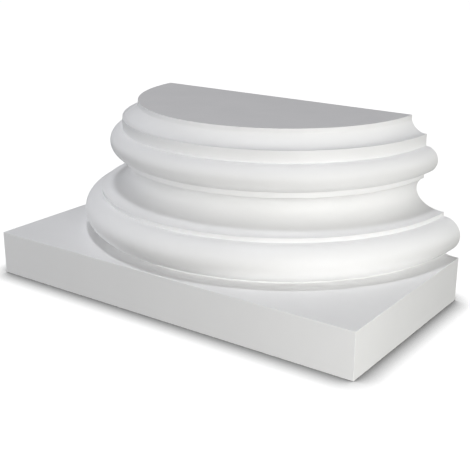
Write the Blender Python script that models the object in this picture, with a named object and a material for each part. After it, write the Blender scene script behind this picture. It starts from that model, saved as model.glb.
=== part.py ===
"""Half column base: a flat plinth under the round mouldings of an Attic base, cut flat at the wall.

Sizes are in metres and heights are measured from the underside. The mouldings are half of a
turned shape about the upright axis of the column, which runs down the middle of the flat back.
"""
import math

import bmesh
import bpy

# Plinth
PLINTH_WIDTH = 0.3600
PLINTH_HEIGHT = 0.0383
PLINTH_MARGIN = 0.0002          # left between the large roll and the plinth's edges

# Heights of the mouldings, from the plinth up
SLOPE_HEIGHT = 0.0016           # low slope from the foot band out over the plinth's top
FOOT_BAND_HEIGHT = 0.0015       # upright band, up to the lowest level of the large roll
LARGE_ROLL_HEIGHT = 0.0308
LOWER_BAND_HEIGHT = 0.0036
FLARE_HEIGHT = 0.0173           # lower part of the hollow, which spreads over the lower band
THROAT_HEIGHT = 0.0088          # upper part of the hollow, which turns out under the middle band
MIDDLE_BAND_HEIGHT = 0.0050
SMALL_ROLL_HEIGHT = 0.0228
UPPER_BAND_HEIGHT = 0.0100
COVE_HEIGHT = 0.0104
LIP_HEIGHT = 0.0038             # upright edge round the seat of the shaft

# Steps of the mouldings, measured straight out from the axis
FOOT_STEP = 0.0020              # from the lower band out to the foot band
LARGE_ROLL_REACH = 0.0158       # out from the lower band
SMALL_ROLL_REACH = 0.0115       # out from the upper bands
UPPER_SETBACK = 0.0204          # from the lower band in to the upper ones
THROAT_DEPTH = 0.0058           # of the hollow, in from the upper bands
NECK_SETBACK = 0.0142           # from the upper bands in to the lip
FLARE_LEDGE = 0.0005            # left flat between the hollow and the lower band
COVE_LEDGE = 0.0028             # left flat between the cove and the upper band
COVE_DIP = 0.0021               # how far the cove dips under a straight slope
SLOPE_MARGIN = 0.0015           # from the plinth's front edge in to the slope
SLOPE_DIP = 0.0003              # how far the slope dips under a straight one

# Straight facets that stand for the round stretches
TURN_FACETS = 60                # round the half turn
LARGE_ROLL_FACETS = 18
SMALL_ROLL_FACETS = 16
FLARE_FACETS = 9
THROAT_FACETS = 5
COVE_FACETS = 6
SLOPE_FACETS = 4
SHARP_ANGLE = math.radians(28)

# Finish
PRIMER_COLOUR = (0.83, 0.83, 0.84, 1.0)
PRIMER_ROUGHNESS = 0.55

QUARTER_TURN = math.pi / 2
HALF_TURN = math.pi
SAME_PLACE = 1e-6


def ellipse_arc(centre, half_width, half_height, start, end, facets):
    """Points (radius, height) along part of an ellipse, both ends included."""
    angles = [start + (end - start) * step / facets for step in range(facets + 1)]
    return [
        (centre[0] + half_width * math.cos(angle), centre[1] + half_height * math.sin(angle))
        for angle in angles
    ]


def dipped_arc(start, end, dip, facets):
    """Points from start down to end on the circle that dips under the straight line between them."""
    run = end[0] - start[0]
    drop = start[1] - end[1]
    span = math.hypot(run, drop)
    radius = (span ** 2 / 4 + dip ** 2) / (2 * dip)
    centre = (
        (start[0] + end[0]) / 2 + (radius - dip) * drop / span,
        (start[1] + end[1]) / 2 + (radius - dip) * run / span,
    )
    first = math.atan2(start[1] - centre[1], start[0] - centre[0])
    last = math.atan2(end[1] - centre[1], end[0] - centre[0])
    return ellipse_arc(centre, radius, radius, first, last, facets)


def roll(band, top, reach, height, facets, foot=0.0):
    """Points down a roll, half of an ellipse, that stands out from the band above it.

    It ends at the band below it, which stands out from the one above by foot.
    """
    centre = (band, top - height / 2)
    return ellipse_arc(
        centre, reach, height / 2, QUARTER_TURN, -math.acos(foot / reach), facets,
    )


def moulding_section():
    """Outline of the mouldings from the lip down to the plinth, as (radius, height) points."""
    lower_band = PLINTH_WIDTH / 2 - PLINTH_MARGIN - LARGE_ROLL_REACH
    foot_band = lower_band + FOOT_STEP
    upper_band = lower_band - UPPER_SETBACK
    throat = upper_band - THROAT_DEPTH
    neck = upper_band - NECK_SETBACK
    flare_end = lower_band - FLARE_LEDGE
    cove_end = upper_band - COVE_LEDGE

    slope_top = PLINTH_HEIGHT + SLOPE_HEIGHT
    large_roll_bottom = slope_top + FOOT_BAND_HEIGHT
    large_roll_top = large_roll_bottom + LARGE_ROLL_HEIGHT
    lower_band_top = large_roll_top + LOWER_BAND_HEIGHT
    throat_level = lower_band_top + FLARE_HEIGHT
    middle_band_top = throat_level + THROAT_HEIGHT + MIDDLE_BAND_HEIGHT
    small_roll_top = middle_band_top + SMALL_ROLL_HEIGHT
    upper_band_top = small_roll_top + UPPER_BAND_HEIGHT
    cove_top = upper_band_top + COVE_HEIGHT

    lip = [(neck, cove_top + LIP_HEIGHT)]
    cove = dipped_arc((neck, cove_top), (cove_end, upper_band_top), COVE_DIP, COVE_FACETS)
    upper_band_edge = [(upper_band, upper_band_top)]
    small_roll = roll(
        upper_band, small_roll_top, SMALL_ROLL_REACH, SMALL_ROLL_HEIGHT, SMALL_ROLL_FACETS,
    )
    throat_radius = (THROAT_DEPTH ** 2 + THROAT_HEIGHT ** 2) / (2 * THROAT_DEPTH)
    throat_turn = math.atan2(THROAT_HEIGHT, throat_radius - THROAT_DEPTH)
    throat_arc = ellipse_arc(
        (throat + throat_radius, throat_level), throat_radius, throat_radius,
        HALF_TURN - throat_turn, HALF_TURN, THROAT_FACETS,
    )
    flare = ellipse_arc(
        (flare_end, throat_level), flare_end - throat, FLARE_HEIGHT,
        HALF_TURN, HALF_TURN + QUARTER_TURN, FLARE_FACETS,
    )
    lower_band_edge = [(lower_band, lower_band_top)]
    large_roll = roll(
        lower_band, large_roll_top, LARGE_ROLL_REACH, LARGE_ROLL_HEIGHT, LARGE_ROLL_FACETS,
        FOOT_STEP,
    )
    slope_edge = (PLINTH_WIDTH / 2 - SLOPE_MARGIN, PLINTH_HEIGHT)
    slope = dipped_arc((foot_band, slope_top), slope_edge, SLOPE_DIP, SLOPE_FACETS)
    return (
        lip + cove + upper_band_edge + small_roll
        + throat_arc + flare[1:] + lower_band_edge + large_roll + slope
    )


def open_edges(shape, axis, place):
    """Edges with a face missing whose two ends lie at one place along an axis."""
    return [
        edge for edge in shape.edges
        if not edge.is_manifold
        and all(abs(corner.co[axis] - place) < SAME_PLACE for corner in edge.verts)
    ]


def join_along_back(shape, height):
    """Adds straight edges on the back between pairs of corners at one height, left to right."""
    corners = [
        vertex for vertex in shape.verts
        if abs(vertex.co.y) < SAME_PLACE and abs(vertex.co.z - height) < SAME_PLACE
    ]
    corners.sort(key=lambda vertex: vertex.co.x)
    for left, right in zip(corners[::2], corners[1::2]):
        shape.edges.new((left, right))


def turn_mouldings(shape, section):
    """Turns the section through half a circle, in front of the flat back."""
    outline = [shape.verts.new((radius, 0.0, height)) for radius, height in section]
    edges = [shape.edges.new(pair) for pair in zip(outline, outline[1:])]
    bmesh.ops.spin(
        shape, geom=outline + edges, cent=(0, 0, 0), axis=(0, 0, 1),
        angle=-HALF_TURN, steps=TURN_FACETS,
    )


def add_plinth_walls(shape):
    """Adds the plinth without its top and its back, which take their outlines from the mouldings."""
    plinth_depth = PLINTH_WIDTH / 2
    block = bmesh.ops.create_cube(shape, size=1.0)["verts"]
    bmesh.ops.scale(shape, vec=(PLINTH_WIDTH, plinth_depth, PLINTH_HEIGHT), verts=block)
    bmesh.ops.translate(shape, vec=(0, -plinth_depth / 2, PLINTH_HEIGHT / 2), verts=block)
    faces = {face for vertex in block for face in vertex.link_faces}
    open_faces = [face for face in faces if face.normal.z > 0.5 or face.normal.y > 0.5]
    bmesh.ops.delete(shape, geom=open_faces, context="FACES")


def half_base_mesh():
    """The whole base as one closed mesh, with the column's axis as its origin."""
    section = moulding_section()
    seat_height = section[0][1]
    shape = bmesh.new()
    turn_mouldings(shape, section)
    add_plinth_walls(shape)
    for vertex in shape.verts:
        if abs(vertex.co.y) < SAME_PLACE:
            vertex.co.y = 0.0
    join_along_back(shape, seat_height)
    join_along_back(shape, PLINTH_HEIGHT)
    up, back = 2, 1
    bmesh.ops.contextual_create(shape, geom=open_edges(shape, up, seat_height))
    bmesh.ops.contextual_create(shape, geom=open_edges(shape, up, PLINTH_HEIGHT))
    bmesh.ops.contextual_create(shape, geom=open_edges(shape, back, 0.0))
    bmesh.ops.recalc_face_normals(shape, faces=shape.faces)

    mesh = bpy.data.meshes.new("half_column_base")
    shape.to_mesh(mesh)
    shape.free()
    mesh.shade_smooth()
    mesh.set_sharp_from_angle(angle=SHARP_ANGLE)
    return mesh


def primer():
    """White primer over hard foam, dry to the eye."""
    material = bpy.data.materials.new("primer")
    material.use_nodes = True
    shader = material.node_tree.nodes["Principled BSDF"]
    shader.inputs["Base Color"].default_value = PRIMER_COLOUR
    shader.inputs["Roughness"].default_value = PRIMER_ROUGHNESS
    shader.inputs["Metallic"].default_value = 0.0
    material.diffuse_color = PRIMER_COLOUR
    return material


def clear_scene():
    """Removes every object that the scene starts with."""
    for item in list(bpy.data.objects):
        bpy.data.objects.remove(item, do_unlink=True)


def main():
    """Builds the base, with the middle of its footprint at the world's origin."""
    clear_scene()
    base = bpy.data.objects.new("half_column_base", half_base_mesh())
    base.data.materials.append(primer())
    base.location.y = PLINTH_WIDTH / 4
    bpy.context.scene.collection.objects.link(base)


main()
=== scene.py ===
"""Looks of a half column base: one moulded foam piece, primed white, on a plain pale floor.

Sizes are in metres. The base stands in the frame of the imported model: +Z is up, the wall that it
is fixed against is on its +Y side, and the middle of its footprint is the origin. The column's
axis is upright in the plane of the wall, and radii are measured from it.
"""
from __future__ import annotations

import logging
import math
from dataclasses import dataclass, field
from enum import Enum

import bmesh
import bpy
from mathutils import Matrix, Vector


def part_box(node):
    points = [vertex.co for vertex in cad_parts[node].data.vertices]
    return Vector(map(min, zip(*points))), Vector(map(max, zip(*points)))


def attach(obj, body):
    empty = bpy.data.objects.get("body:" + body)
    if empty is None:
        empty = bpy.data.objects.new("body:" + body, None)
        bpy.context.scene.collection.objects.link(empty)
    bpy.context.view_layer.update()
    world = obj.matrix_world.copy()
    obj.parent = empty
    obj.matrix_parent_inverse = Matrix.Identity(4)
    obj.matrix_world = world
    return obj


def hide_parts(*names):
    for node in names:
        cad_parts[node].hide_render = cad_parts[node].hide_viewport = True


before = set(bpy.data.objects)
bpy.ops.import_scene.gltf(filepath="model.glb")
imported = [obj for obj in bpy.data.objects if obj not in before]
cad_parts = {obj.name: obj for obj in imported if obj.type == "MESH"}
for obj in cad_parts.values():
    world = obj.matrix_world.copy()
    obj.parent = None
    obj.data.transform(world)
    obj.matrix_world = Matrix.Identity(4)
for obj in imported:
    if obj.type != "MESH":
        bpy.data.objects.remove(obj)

Point = tuple[float, float]
Colour = tuple[float, float, float]

NODE = "half_column_base"
BODY = "root"

QUARTER_TURN = math.pi / 2
HALF_TURN = math.pi
SAME_PLACE = 1e-6
FACING = 0.999                  # least cosine between a direction and a face that looks along it
WHITE = (1.0, 1.0, 1.0, 1.0)

log = logging.getLogger("half_column_base")


class Surface(Enum):
    """The two kinds of face on the base. The value is the face's material slot."""

    PRIMED = 0
    JOINT = 1


class NodeBench:
    """Sets out the shader nodes of one material, with lengths in metres on the object."""

    MIDDLE_HALF: Point = (0.25, 0.75)

    def __init__(self, name: str) -> None:
        """Starts a material with a plain shader.

        Args:
            name: what the material is called.
        """
        self.material = bpy.data.materials.new(name)
        self.material.use_nodes = True
        self.tree = self.material.node_tree
        self.shader = self.tree.nodes["Principled BSDF"]
        self.place = self.add("ShaderNodeTexCoord").outputs["Object"]

    def add(self, kind: str, inputs: dict[str, object] | None = None) -> bpy.types.Node:
        """Adds a node and fills its inputs.

        Args:
            kind: the node's type.
            inputs: a plain value, or the socket to link, for each input by name.

        Returns:
            The new node.
        """
        node = self.tree.nodes.new(kind)
        for name, value in (inputs or {}).items():
            self.fill(node, name, value)
        return node

    def fill(self, node: bpy.types.Node, name: str, value: object) -> None:
        """Links a socket to an input, or sets the input's own value.

        Args:
            node: the node that has the input.
            name: the input's name.
            value: a socket or a plain value.
        """
        if isinstance(value, bpy.types.NodeSocket):
            self.tree.links.new(value, node.inputs[name])
        else:
            node.inputs[name].default_value = value

    def noise(self, size: float, detail: float = 2.0) -> bpy.types.NodeSocket:
        """Cloudy variation.

        Args:
            size: how far apart its lumps are.
            detail: how many finer layers it holds.

        Returns:
            A socket that runs from 0 to 1, with most of it near 0.5.
        """
        settings = {"Vector": self.place, "Scale": 1 / size, "Detail": detail}
        return self.add("ShaderNodeTexNoise", settings).outputs["Fac"]

    def pits(self, spacing: float, breadth: float) -> bpy.types.NodeSocket:
        """Scattered round pits.

        Args:
            spacing: about how far apart they are.
            breadth: how wide each is.

        Returns:
            A socket that is 0 in the middle of a pit and 1 outside the pits.
        """
        cells = self.add("ShaderNodeTexVoronoi", {"Vector": self.place, "Scale": 1 / spacing})
        return self.spread(cells.outputs["Distance"], (0.0, breadth / 2 / spacing), (0.0, 1.0))

    def openness(self, reach: float) -> bpy.types.NodeSocket:
        """How open the surface is to the room, whichever way it is seen from.

        Args:
            reach: how near another surface has to be to count.

        Returns:
            A socket that is 1 in the open and 0.5 at the foot of an upright wall.
        """
        return self.add("ShaderNodeAmbientOcclusion", {"Distance": reach}).outputs["AO"]

    def spread(
        self, value: bpy.types.NodeSocket, source: Point, target: Point,
    ) -> bpy.types.NodeSocket:
        """Maps one range of a value to another and holds it there.

        Args:
            value: the socket to map.
            source: the range to map from.
            target: the range to map to.

        Returns:
            The mapped socket.
        """
        settings = {
            "Value": value,
            "From Min": source[0],
            "From Max": source[1],
            "To Min": target[0],
            "To Max": target[1],
        }
        return self.add("ShaderNodeMapRange", settings).outputs["Result"]

    def tint(self, value: bpy.types.NodeSocket, low: Colour, high: Colour) -> bpy.types.NodeSocket:
        """Turns the middle half of a noise into a run between two colours.

        Args:
            value: the noise.
            low: colour below its middle half.
            high: colour above its middle half.

        Returns:
            The colour socket.
        """
        ramp = self.add("ShaderNodeValToRGB", {"Fac": value})
        first, last = ramp.color_ramp.elements
        first.position, last.position = self.MIDDLE_HALF
        first.color, last.color = (*low, 1.0), (*high, 1.0)
        return ramp.outputs["Color"]

    def bump(
        self, height: bpy.types.NodeSocket, depth: float,
        under: bpy.types.NodeSocket | None = None,
    ) -> bpy.types.NodeSocket:
        """Raises the surface a little by a height from 0 to 1.

        Args:
            height: the socket that gives the height.
            depth: how high 1 stands.
            under: the normal of a coarser bump to build on.

        Returns:
            The normal socket.
        """
        settings: dict[str, object] = {"Height": height, "Distance": depth, "Strength": 1.0}
        if under is not None:
            settings["Normal"] = under
        return self.add("ShaderNodeBump", settings).outputs["Normal"]


@dataclass(frozen=True)
class SprayedPrimer:
    """White primer sprayed over smooth moulded foam, between dull and satin."""

    name: str = "sprayed_primer"
    thin_coat: Colour = (0.850, 0.850, 0.850)
    full_coat: Colour = (0.870, 0.870, 0.870)
    cloud_size: float = 0.045
    cloud_detail: float = 3.0
    dull: float = 0.62
    satin: float = 0.52
    sheen_size: float = 0.015
    sheen_spread: Point = (0.3, 0.7)
    peel_size: float = 0.0011
    peel_depth: float = 0.000010
    pit_spacing: float = 0.0095
    pit_breadth: float = 0.0006
    pit_depth: float = 0.00003

    def material(self) -> bpy.types.Material:
        """Makes the finish.

        Returns:
            The new material.
        """
        bench = NodeBench(self.name)
        clouds = bench.noise(self.cloud_size, self.cloud_detail)
        peel = bench.noise(self.peel_size)
        pits = bench.pits(self.pit_spacing, self.pit_breadth)
        relief = bench.bump(pits, self.pit_depth, bench.bump(peel, self.peel_depth))
        bench.fill(bench.shader, "Base Color", bench.tint(clouds, self.thin_coat, self.full_coat))
        sheen = bench.spread(
            bench.noise(self.sheen_size), self.sheen_spread, (self.satin, self.dull),
        )
        bench.fill(bench.shader, "Roughness", sheen)
        bench.fill(bench.shader, "Normal", relief)
        return bench.material


@dataclass(frozen=True)
class PlainJoint:
    """Flat faces that meet the wall, the floor or the shaft: level foam with no primer."""

    name: str = "plain_joint"
    dark: Colour = (0.717, 0.712, 0.714)
    light: Colour = (0.747, 0.739, 0.740)
    cloud_size: float = 0.030
    cloud_detail: float = 4.0
    roughness: float = 0.8
    cell_size: float = 0.0008
    cell_depth: float = 0.000012

    def material(self) -> bpy.types.Material:
        """Makes the finish.

        Returns:
            The new material.
        """
        bench = NodeBench(self.name)
        clouds = bench.noise(self.cloud_size, self.cloud_detail)
        cells = bench.noise(self.cell_size)
        bench.fill(bench.shader, "Base Color", bench.tint(clouds, self.dark, self.light))
        bench.fill(bench.shader, "Roughness", self.roughness)
        bench.fill(bench.shader, "Normal", bench.bump(cells, self.cell_depth))
        return bench.material


@dataclass
class Outline:
    """A line drawn through the section from point to point, as (radius, height)."""

    points: list[Point] = field(default_factory=list)

    def to(self, radius: float, height: float) -> None:
        """Draws a straight stretch to a point."""
        self.points.append((radius, height))

    def arc(
        self, centre: Point, half_width: float, half_height: float,
        start: float, end: float, steps: int,
    ) -> None:
        """Draws part of an ellipse, both ends included.

        Args:
            centre: its centre.
            half_width: its reach outwards.
            half_height: its reach upwards.
            start: angle that it starts at, from straight out, in radians.
            end: angle that it ends at.
            steps: straight pieces that stand for it.
        """
        for step in range(steps + 1):
            angle = start + (end - start) * step / steps
            self.to(
                centre[0] + half_width * math.cos(angle),
                centre[1] + half_height * math.sin(angle),
            )

    def dip(self, start: Point, end: Point, depth: float, steps: int) -> None:
        """Draws the hollow arc from start down to end.

        Args:
            start: its upper end, near the axis.
            end: its lower end, further out.
            depth: how far it dips under the straight line between the ends.
            steps: straight pieces that stand for it.
        """
        run = end[0] - start[0]
        drop = start[1] - end[1]
        span = math.hypot(run, drop)
        radius = (span ** 2 / 4 + depth ** 2) / (2 * depth)
        centre = (
            (start[0] + end[0]) / 2 + (radius - depth) * drop / span,
            (start[1] + end[1]) / 2 + (radius - depth) * run / span,
        )
        first = math.atan2(start[1] - centre[1], start[0] - centre[0])
        last = math.atan2(end[1] - centre[1], end[0] - centre[0])
        self.arc(centre, radius, radius, first, last, steps)

    def eased(self, radius: float, least_turn: float, steps: int) -> list[Point]:
        """Rounds the corners.

        Args:
            radius: radius of the rounding.
            least_turn: turns smaller than this stay as they are, in radians.
            steps: straight pieces in each rounded corner.

        Returns:
            The points of the line with its corners rounded.
        """
        done = [self.points[0]]
        for before, corner, after in zip(self.points, self.points[1:], self.points[2:]):
            arriving = Vector(corner) - Vector(before)
            leaving = Vector(after) - Vector(corner)
            turn = arriving.angle(leaving)
            if turn < least_turn:
                done.append(corner)
                continue
            reach = min(radius * math.tan(turn / 2), arriving.length / 2, leaving.length / 2)
            start = Vector(corner) - arriving.normalized() * reach
            end = Vector(corner) + leaving.normalized() * reach
            for step in range(steps + 1):
                share = step / steps
                first = start.lerp(Vector(corner), share)
                second = Vector(corner).lerp(end, share)
                done.append(tuple(first.lerp(second, share)))
        return done + [self.points[-1]]


@dataclass(frozen=True)
class PaleSweep:
    """Plain pale floor that curves up into a wall far behind and all round, like a light tent.

    It glows by itself, so that it shows as white, and it throws no light back at the base. Close
    to the base its glow is dimmed into a painted contact shadow, by how open the floor is there.
    """

    name: str = "pale_sweep"
    colour: Colour = (0.15, 0.15, 0.15)
    glow: float = 0.98
    # glow left in the painted contact shadow at the foot of the base, and how far that shadow
    # reaches
    painted_shadow_glow: float = 0.08
    painted_shadow_reach: float = 0.023
    wall_to_open: Point = (0.5, 1.0)
    roughness: float = 0.9
    floor_radius: float = 4.0
    bend_radius: float = 2.0
    bend_steps: int = 12
    round_steps: int = 96
    drop: float = 0.0003

    def build(self) -> bpy.types.Object:
        """Makes the floor, just under the base, and its wall.

        Returns:
            The sweep's object.
        """
        bench = NodeBench(self.name)
        bench.fill(bench.shader, "Base Color", (*self.colour, 1.0))
        bench.fill(bench.shader, "Roughness", self.roughness)
        bench.fill(bench.shader, "Emission Color", WHITE)
        # painted contact shadow: the glow falls from glow towards the shadow's glow where the base
        # closes the floor in
        glow = bench.spread(
            bench.openness(self.painted_shadow_reach), self.wall_to_open, (self.painted_shadow_glow, self.glow),
        )
        bench.fill(bench.shader, "Emission Strength", glow)
        line = Outline()
        line.to(0.0, -self.drop)
        line.arc(
            (self.floor_radius, self.bend_radius - self.drop), self.bend_radius, self.bend_radius,
            -QUARTER_TURN, 0.0, self.bend_steps,
        )
        shape = bmesh.new()
        outline = [shape.verts.new((radius, 0.0, height)) for radius, height in line.points]
        edges = [shape.edges.new(pair) for pair in zip(outline, outline[1:])]
        bmesh.ops.spin(
            shape, geom=outline + edges, cent=(0, 0, 0), axis=(0, 0, 1),
            angle=2 * HALF_TURN, steps=self.round_steps,
        )
        bmesh.ops.remove_doubles(shape, verts=shape.verts, dist=SAME_PLACE)
        bmesh.ops.recalc_face_normals(shape, faces=shape.faces)
        bmesh.ops.reverse_faces(shape, faces=shape.faces)
        mesh = bpy.data.meshes.new(self.name)
        shape.to_mesh(mesh)
        shape.free()
        mesh.shade_smooth()
        mesh.materials.append(bench.material)
        sweep = bpy.data.objects.new(self.name, mesh)
        bpy.context.scene.collection.objects.link(sweep)
        sweep.visible_diffuse = False
        sweep.visible_glossy = False
        sweep.visible_shadow = False
        return sweep


@dataclass
class Mouldings:
    """The round mouldings of the base, from the slope on the plinth up to the lip."""

    reach: float
    top: float
    margin: float = 0.0002
    slope_height: float = 0.0016
    foot_height: float = 0.0015
    large_roll_height: float = 0.0308
    lower_band: float = 0.0036
    flare_height: float = 0.0173
    throat_height: float = 0.0088
    middle_band: float = 0.0050
    small_roll_height: float = 0.0228
    upper_band: float = 0.0100
    cove_height: float = 0.0104
    lip_height: float = 0.0038
    foot_step: float = 0.0020
    large_roll_reach: float = 0.0158
    small_roll_reach: float = 0.0115
    upper_setback: float = 0.0204
    throat_depth: float = 0.0058
    neck_setback: float = 0.0142
    flare_ledge: float = 0.0005
    cove_ledge: float = 0.0028
    cove_dip: float = 0.0021
    slope_margin: float = 0.0015
    slope_dip: float = 0.0003
    band_round: float = 0.0003
    edge_ease: float = 0.00025
    cove_steps: int = 24
    band_round_steps: int = 8
    small_roll_steps: int = 44
    throat_steps: int = 20
    flare_steps: int = 32
    large_roll_steps: int = 52
    slope_steps: int = 10
    ease_steps: int = 5
    sharp_turn: float = math.radians(20)

    @property
    def height(self) -> float:
        """Height of all the mouldings together."""
        foot = self.slope_height + self.foot_height
        bands = self.lower_band + self.middle_band + self.upper_band
        rolls = self.large_roll_height + self.small_roll_height
        hollows = self.flare_height + self.throat_height + self.cove_height
        return foot + bands + rolls + hollows + self.lip_height

    @property
    def bottom(self) -> float:
        """Level of the plinth's top, which the mouldings stand on."""
        return self.top - self.height

    @property
    def lower_radius(self) -> float:
        """Radius of the lower band."""
        return self.reach - self.margin - self.large_roll_reach

    @property
    def upper_radius(self) -> float:
        """Radius of the middle band and of the upper band."""
        return self.lower_radius - self.upper_setback

    def section(self) -> list[Point]:
        """Works out the section.

        Returns:
            Its points from the edge of the seat down to the plinth, with eased corners.
        """
        throat = self.upper_radius - self.throat_depth
        neck = self.upper_radius - self.neck_setback
        line = Outline()
        line.to(neck - self.lip_height, self.top)
        line.to(neck, self.top)
        level = self.top - self.lip_height
        cove_foot = (self.upper_radius - self.cove_ledge, level - self.cove_height)
        line.dip((neck, level), cove_foot, self.cove_dip, self.cove_steps)
        level -= self.cove_height
        line.arc(
            (self.upper_radius - self.band_round, level - self.band_round),
            self.band_round, self.band_round, QUARTER_TURN, 0.0, self.band_round_steps,
        )
        level -= self.upper_band + self.small_roll_height / 2
        self.roll(
            line, (self.upper_radius, level), self.small_roll_reach, self.small_roll_height,
            self.small_roll_steps,
        )
        level -= self.small_roll_height / 2 + self.middle_band + self.throat_height
        self.throat(line, throat, level)
        flare_end = self.lower_radius - self.flare_ledge
        line.arc(
            (flare_end, level), flare_end - throat, self.flare_height,
            HALF_TURN, HALF_TURN + QUARTER_TURN, self.flare_steps,
        )
        level -= self.flare_height
        line.to(self.lower_radius, level)
        level -= self.lower_band + self.large_roll_height / 2
        self.roll(
            line, (self.lower_radius, level), self.large_roll_reach, self.large_roll_height,
            self.large_roll_steps, self.foot_step,
        )
        slope_top = (self.lower_radius + self.foot_step, self.bottom + self.slope_height)
        slope_edge = (self.reach - self.slope_margin, self.bottom)
        line.dip(slope_top, slope_edge, self.slope_dip, self.slope_steps)
        line.to(self.reach, self.bottom)
        return line.eased(self.edge_ease, self.sharp_turn, self.ease_steps)[1:-1]

    def roll(
        self, line: Outline, centre: Point, reach: float, height: float, steps: int,
        foot: float = 0.0,
    ) -> None:
        """Draws a roll, half of an ellipse, from its top down.

        Args:
            line: the outline to draw on.
            centre: its middle, at the radius of the band above it.
            reach: how far it stands out from that band.
            height: its own height.
            steps: straight pieces that stand for it.
            foot: how far the band below it stands out from the one above.
        """
        end = -math.acos(foot / reach)
        line.arc(centre, reach, height / 2, QUARTER_TURN, end, steps)

    def throat(self, line: Outline, deepest: float, level: float) -> None:
        """Draws the upper part of the hollow, which turns out under the middle band.

        Args:
            line: the outline to draw on.
            deepest: radius of the hollow where it is deepest.
            level: height at which it is deepest.
        """
        depth, height = self.throat_depth, self.throat_height
        radius = (depth ** 2 + height ** 2) / (2 * depth)
        turn = math.atan2(height, radius - depth)
        centre = (deepest + radius, level)
        line.arc(centre, radius, radius, HALF_TURN - turn, HALF_TURN, self.throat_steps)
        line.points.pop()


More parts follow.
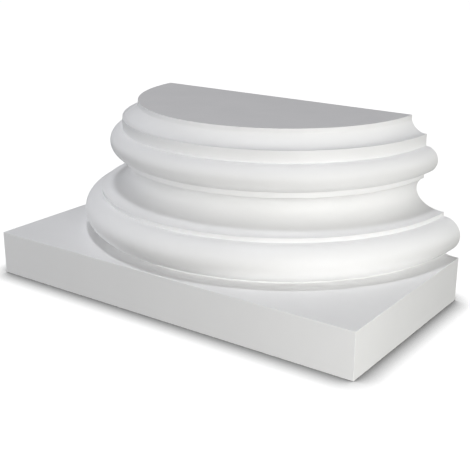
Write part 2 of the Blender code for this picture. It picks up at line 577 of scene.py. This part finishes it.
@dataclass
class HalfColumnBase:
    """The whole base: mouldings and plinth in one piece, cut flat at the back."""

    low: Vector
    high: Vector
    turn_steps: int = 240
    plinth_ease: float = 0.0003
    plinth_ease_steps: int = 3
    smooth_turn: float = math.radians(30)

    @property
    def width(self) -> float:
        """Width of the plinth."""
        return self.high.x - self.low.x

    @property
    def depth(self) -> float:
        """Depth of the plinth, from its front to the wall."""
        return self.high.y - self.low.y

    def mouldings(self) -> Mouldings:
        """The mouldings, sized to the plinth and the top of the CAD solid."""
        return Mouldings(reach=self.width / 2, top=self.high.z)

    def build(self) -> bpy.types.Object:
        """Makes the piece in place of the CAD solid.

        Returns:
            The new object, which rides on the body and replaces the CAD node.
        """
        mouldings = self.mouldings()
        shape = bmesh.new()
        self.turn(shape, mouldings.section())
        self.add_plinth(shape, mouldings.bottom)
        self.close(shape, mouldings)
        self.ease_plinth(shape, mouldings.bottom)
        self.sort_faces(shape)
        mesh = bpy.data.meshes.new(NODE + "_finished")
        bmesh.ops.translate(shape, vec=(0, self.high.y, 0), verts=shape.verts)
        shape.to_mesh(mesh)
        shape.free()
        mesh.shade_smooth()
        mesh.set_sharp_from_angle(angle=self.smooth_turn)
        piece = bpy.data.objects.new(mesh.name, mesh)
        bpy.context.scene.collection.objects.link(piece)
        even = piece.modifiers.new("even_faces", "WEIGHTED_NORMAL")
        even.keep_sharp = True
        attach(piece, BODY)
        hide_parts(NODE)
        return piece

    def turn(self, shape: bmesh.types.BMesh, section: list[Point]) -> None:
        """Turns the section through half a circle in front of the wall.

        Args:
            shape: the mesh to add to, with the column's axis as its origin.
            section: points from the seat down to the plinth.
        """
        outline = [shape.verts.new((radius, 0.0, height)) for radius, height in section]
        edges = [shape.edges.new(pair) for pair in zip(outline, outline[1:])]
        bmesh.ops.spin(
            shape, geom=outline + edges, cent=(0, 0, 0), axis=(0, 0, 1),
            angle=-HALF_TURN, steps=self.turn_steps,
        )

    def add_plinth(self, shape: bmesh.types.BMesh, height: float) -> None:
        """Adds the plinth's front, sides and underside.

        Args:
            shape: the mesh to add to.
            height: height of the plinth.
        """
        block = bmesh.ops.create_cube(shape, size=1.0)["verts"]
        bmesh.ops.scale(shape, vec=(self.width, self.depth, height), verts=block)
        bmesh.ops.translate(shape, vec=(0, -self.depth / 2, height / 2), verts=block)
        faces = {face for vertex in block for face in vertex.link_faces}
        open_faces = [face for face in faces if face.normal.z > FACING or face.normal.y > FACING]
        bmesh.ops.delete(shape, geom=open_faces, context="FACES")

    def close(self, shape: bmesh.types.BMesh, mouldings: Mouldings) -> None:
        """Fills the seat, the top of the plinth and the flat back.

        Args:
            shape: the mesh, open on those three sides.
            mouldings: where the seat and the plinth's top are.
        """
        for vertex in shape.verts:
            if abs(vertex.co.y) < SAME_PLACE:
                vertex.co.y = 0.0
        up, back = 2, 1
        for level in (mouldings.top, mouldings.bottom):
            self.join_along_back(shape, level)
        for axis, place in ((up, mouldings.top), (up, mouldings.bottom), (back, 0.0)):
            rim = [
                edge for edge in shape.edges
                if not edge.is_manifold
                and all(abs(corner.co[axis] - place) < SAME_PLACE for corner in edge.verts)
            ]
            bmesh.ops.contextual_create(shape, geom=rim)
        bmesh.ops.recalc_face_normals(shape, faces=shape.faces)

    def join_along_back(self, shape: bmesh.types.BMesh, height: float) -> None:
        """Adds straight edges on the back between pairs of corners at one height.

        Args:
            shape: the mesh to add to.
            height: level of the corners.
        """
        corners = [
            vertex for vertex in shape.verts
            if abs(vertex.co.y) < SAME_PLACE and abs(vertex.co.z - height) < SAME_PLACE
        ]
        corners.sort(key=lambda vertex: vertex.co.x)
        for left, right in zip(corners[::2], corners[1::2]):
            shape.edges.new((left, right))

    def ease_plinth(self, shape: bmesh.types.BMesh, height: float) -> None:
        """Takes the keenness off the plinth's top edges and upright front edges.

        Its cut edges at the back and round the underside stay sharp.

        Args:
            shape: the closed mesh.
            height: height of the plinth.
        """
        edges = [
            edge for edge in shape.edges
            if edge.calc_length() > height / 2
            and all(corner.co.z < height + SAME_PLACE for corner in edge.verts)
            and any(corner.co.z > height - SAME_PLACE for corner in edge.verts)
            and any(corner.co.y < -SAME_PLACE for corner in edge.verts)
        ]
        bmesh.ops.bevel(
            shape, geom=edges, offset=self.plinth_ease, segments=self.plinth_ease_steps,
            profile=0.5, affect="EDGES",
        )

    def sort_faces(self, shape: bmesh.types.BMesh) -> None:
        """Gives each face its finish: the seat, the back and the underside are joints.

        Args:
            shape: the closed mesh, with the column's axis as its origin.
        """
        joints = (
            (Vector((0, 0, 1)), self.high.z),
            (Vector((0, 0, -1)), 0.0),
            (Vector((0, 1, 0)), 0.0),
        )
        for face in shape.faces:
            middle = face.calc_center_median()
            on_joint = any(
                face.normal.dot(facing) > FACING and abs(middle.dot(facing) - reach) < SAME_PLACE
                for facing, reach in joints
            )
            face.material_index = (Surface.JOINT if on_joint else Surface.PRIMED).value

    def dress(self, piece: bpy.types.Object, finishes: dict[Surface, bpy.types.Material]) -> None:
        """Gives the piece its finishes.

        Args:
            piece: the object that build made.
            finishes: the material of each kind of face.
        """
        for surface in Surface:
            piece.data.materials.append(finishes[surface])


@dataclass(frozen=True)
class PhotoCamera:
    """A camera where the photograph was taken from. Angles are in degrees."""

    place: tuple[float, float, float] = (0.4477, -0.6108, 0.3105)
    yaw: float = 35.4233
    pitch: float = 19.1827
    roll: float = 0.1983
    lens: float = 70.6344
    sensor: float = 36.0

    def build(self) -> bpy.types.Object:
        """Makes the camera and puts the scene behind it.

        Returns:
            The camera's object.
        """
        data = bpy.data.cameras.new("photo_camera")
        data.lens = self.lens
        data.sensor_width = self.sensor
        camera = bpy.data.objects.new("photo_camera", data)
        bpy.context.scene.collection.objects.link(camera)
        camera.matrix_world = (
            Matrix.Translation(self.place)
            @ Matrix.Rotation(math.radians(self.yaw), 4, "Z")
            @ Matrix.Rotation(math.radians(90 - self.pitch), 4, "X")
            @ Matrix.Rotation(math.radians(self.roll), 4, "Z")
        )
        bpy.context.scene.camera = camera
        return camera


@dataclass(frozen=True)
class SoftLight:
    """A round soft light aimed at the middle of the base.

    Its bearing is 0 in front of the base and grows to the right of it; bearing and elevation are
    in degrees. Strength 1 gives the base the same light from any distance.
    """

    name: str
    bearing: float
    elevation: float
    strength: float
    tint: Colour
    distance: float
    breadth: float
    power_at_one_metre: float = 10.0

    def build(self, target: Vector) -> bpy.types.Object:
        """Makes the light.

        Args:
            target: the point that it is aimed at.

        Returns:
            The light's object.
        """
        data = bpy.data.lights.new(self.name, "AREA")
        data.shape = "DISK"
        data.size = self.breadth
        data.energy = self.strength * self.power_at_one_metre * self.distance ** 2
        data.color = self.tint
        light = bpy.data.objects.new(self.name, data)
        bpy.context.scene.collection.objects.link(light)
        bearing, elevation = math.radians(self.bearing), math.radians(self.elevation)
        away = Vector((
            math.sin(bearing) * math.cos(elevation),
            -math.cos(bearing) * math.cos(elevation),
            math.sin(elevation),
        ))
        light.location = target + away * self.distance
        light.rotation_euler = (-away).to_track_quat("-Z", "Y").to_euler()
        light.visible_camera = False
        return light


@dataclass(frozen=True)
class Studio:
    """The plain pale room round the base."""

    target: tuple[float, float, float] = (0.0, 0.02, 0.07)
    fill: float = 0.095
    lights: tuple[SoftLight, ...] = (
        SoftLight("overhead", 10, 83, 0.309, (0.98, 0.99, 1.03), 2.7, 0.4),
        SoftLight("behind_left", -120, 36, 0.069, (0.98, 0.99, 1.03), 2.4, 0.8),
        SoftLight("left", -60, 22, 0.057, (0.98, 0.99, 1.03), 2.4, 0.6),
        SoftLight("low_left", -90, 8, 0.063, (0.98, 0.99, 1.03), 2.4, 0.6),
        SoftLight("front", 0, 22, 0.124, (1.00, 1.00, 1.01), 2.4, 0.6),
        SoftLight("right", 60, 22, 0.089, (1.01, 1.00, 0.99), 2.4, 0.6),
        SoftLight("low_front_left", -30, 8, 0.077, (0.99, 1.00, 1.01), 2.4, 0.6),
        SoftLight("low_behind_right", 120, 8, 0.210, (1.00, 1.01, 0.99), 2.4, 0.6),
        SoftLight("near_left", -60, 2, 0.101, (0.97, 0.99, 1.04), 0.8, 0.25),
        SoftLight("near_front_right", 45, 2, 0.197, (1.02, 1.01, 0.97), 0.8, 0.25),
        SoftLight("near_right", 60, 2, 0.234, (1.01, 1.01, 0.98), 0.8, 0.25),
        SoftLight("wall_side", 180, 3, 0.330, (1.00, 1.00, 1.00), 2.4, 0.6),
    )

    def build(self) -> None:
        """Makes the lights and the fill that comes from all round."""
        scene = bpy.context.scene
        scene.view_settings.view_transform = "Standard"
        world = bpy.data.worlds.new("studio")
        world.use_nodes = True
        background = world.node_tree.nodes["Background"]
        background.inputs["Color"].default_value = WHITE
        background.inputs["Strength"].default_value = self.fill
        scene.world = world
        for light in self.lights:
            light.build(Vector(self.target))
            log.info("light %s at bearing %g", light.name, light.bearing)


def main() -> None:
    """Builds the camera, the studio, the floor and the base, sized to the box of the CAD solid."""
    logging.basicConfig(level=logging.INFO, format="%(name)s: %(message)s")
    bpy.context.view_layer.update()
    PhotoCamera().build()
    low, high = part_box(NODE)
    Studio().build()
    PaleSweep().build()
    base = HalfColumnBase(low, high)
    piece = base.build()
    base.dress(piece, {
        Surface.PRIMED: SprayedPrimer().material(),
        Surface.JOINT: PlainJoint().material(),
    })
    log.info("piece %s: %d faces", piece.name, len(piece.data.polygons))


if __name__ == "__main__":
    main()
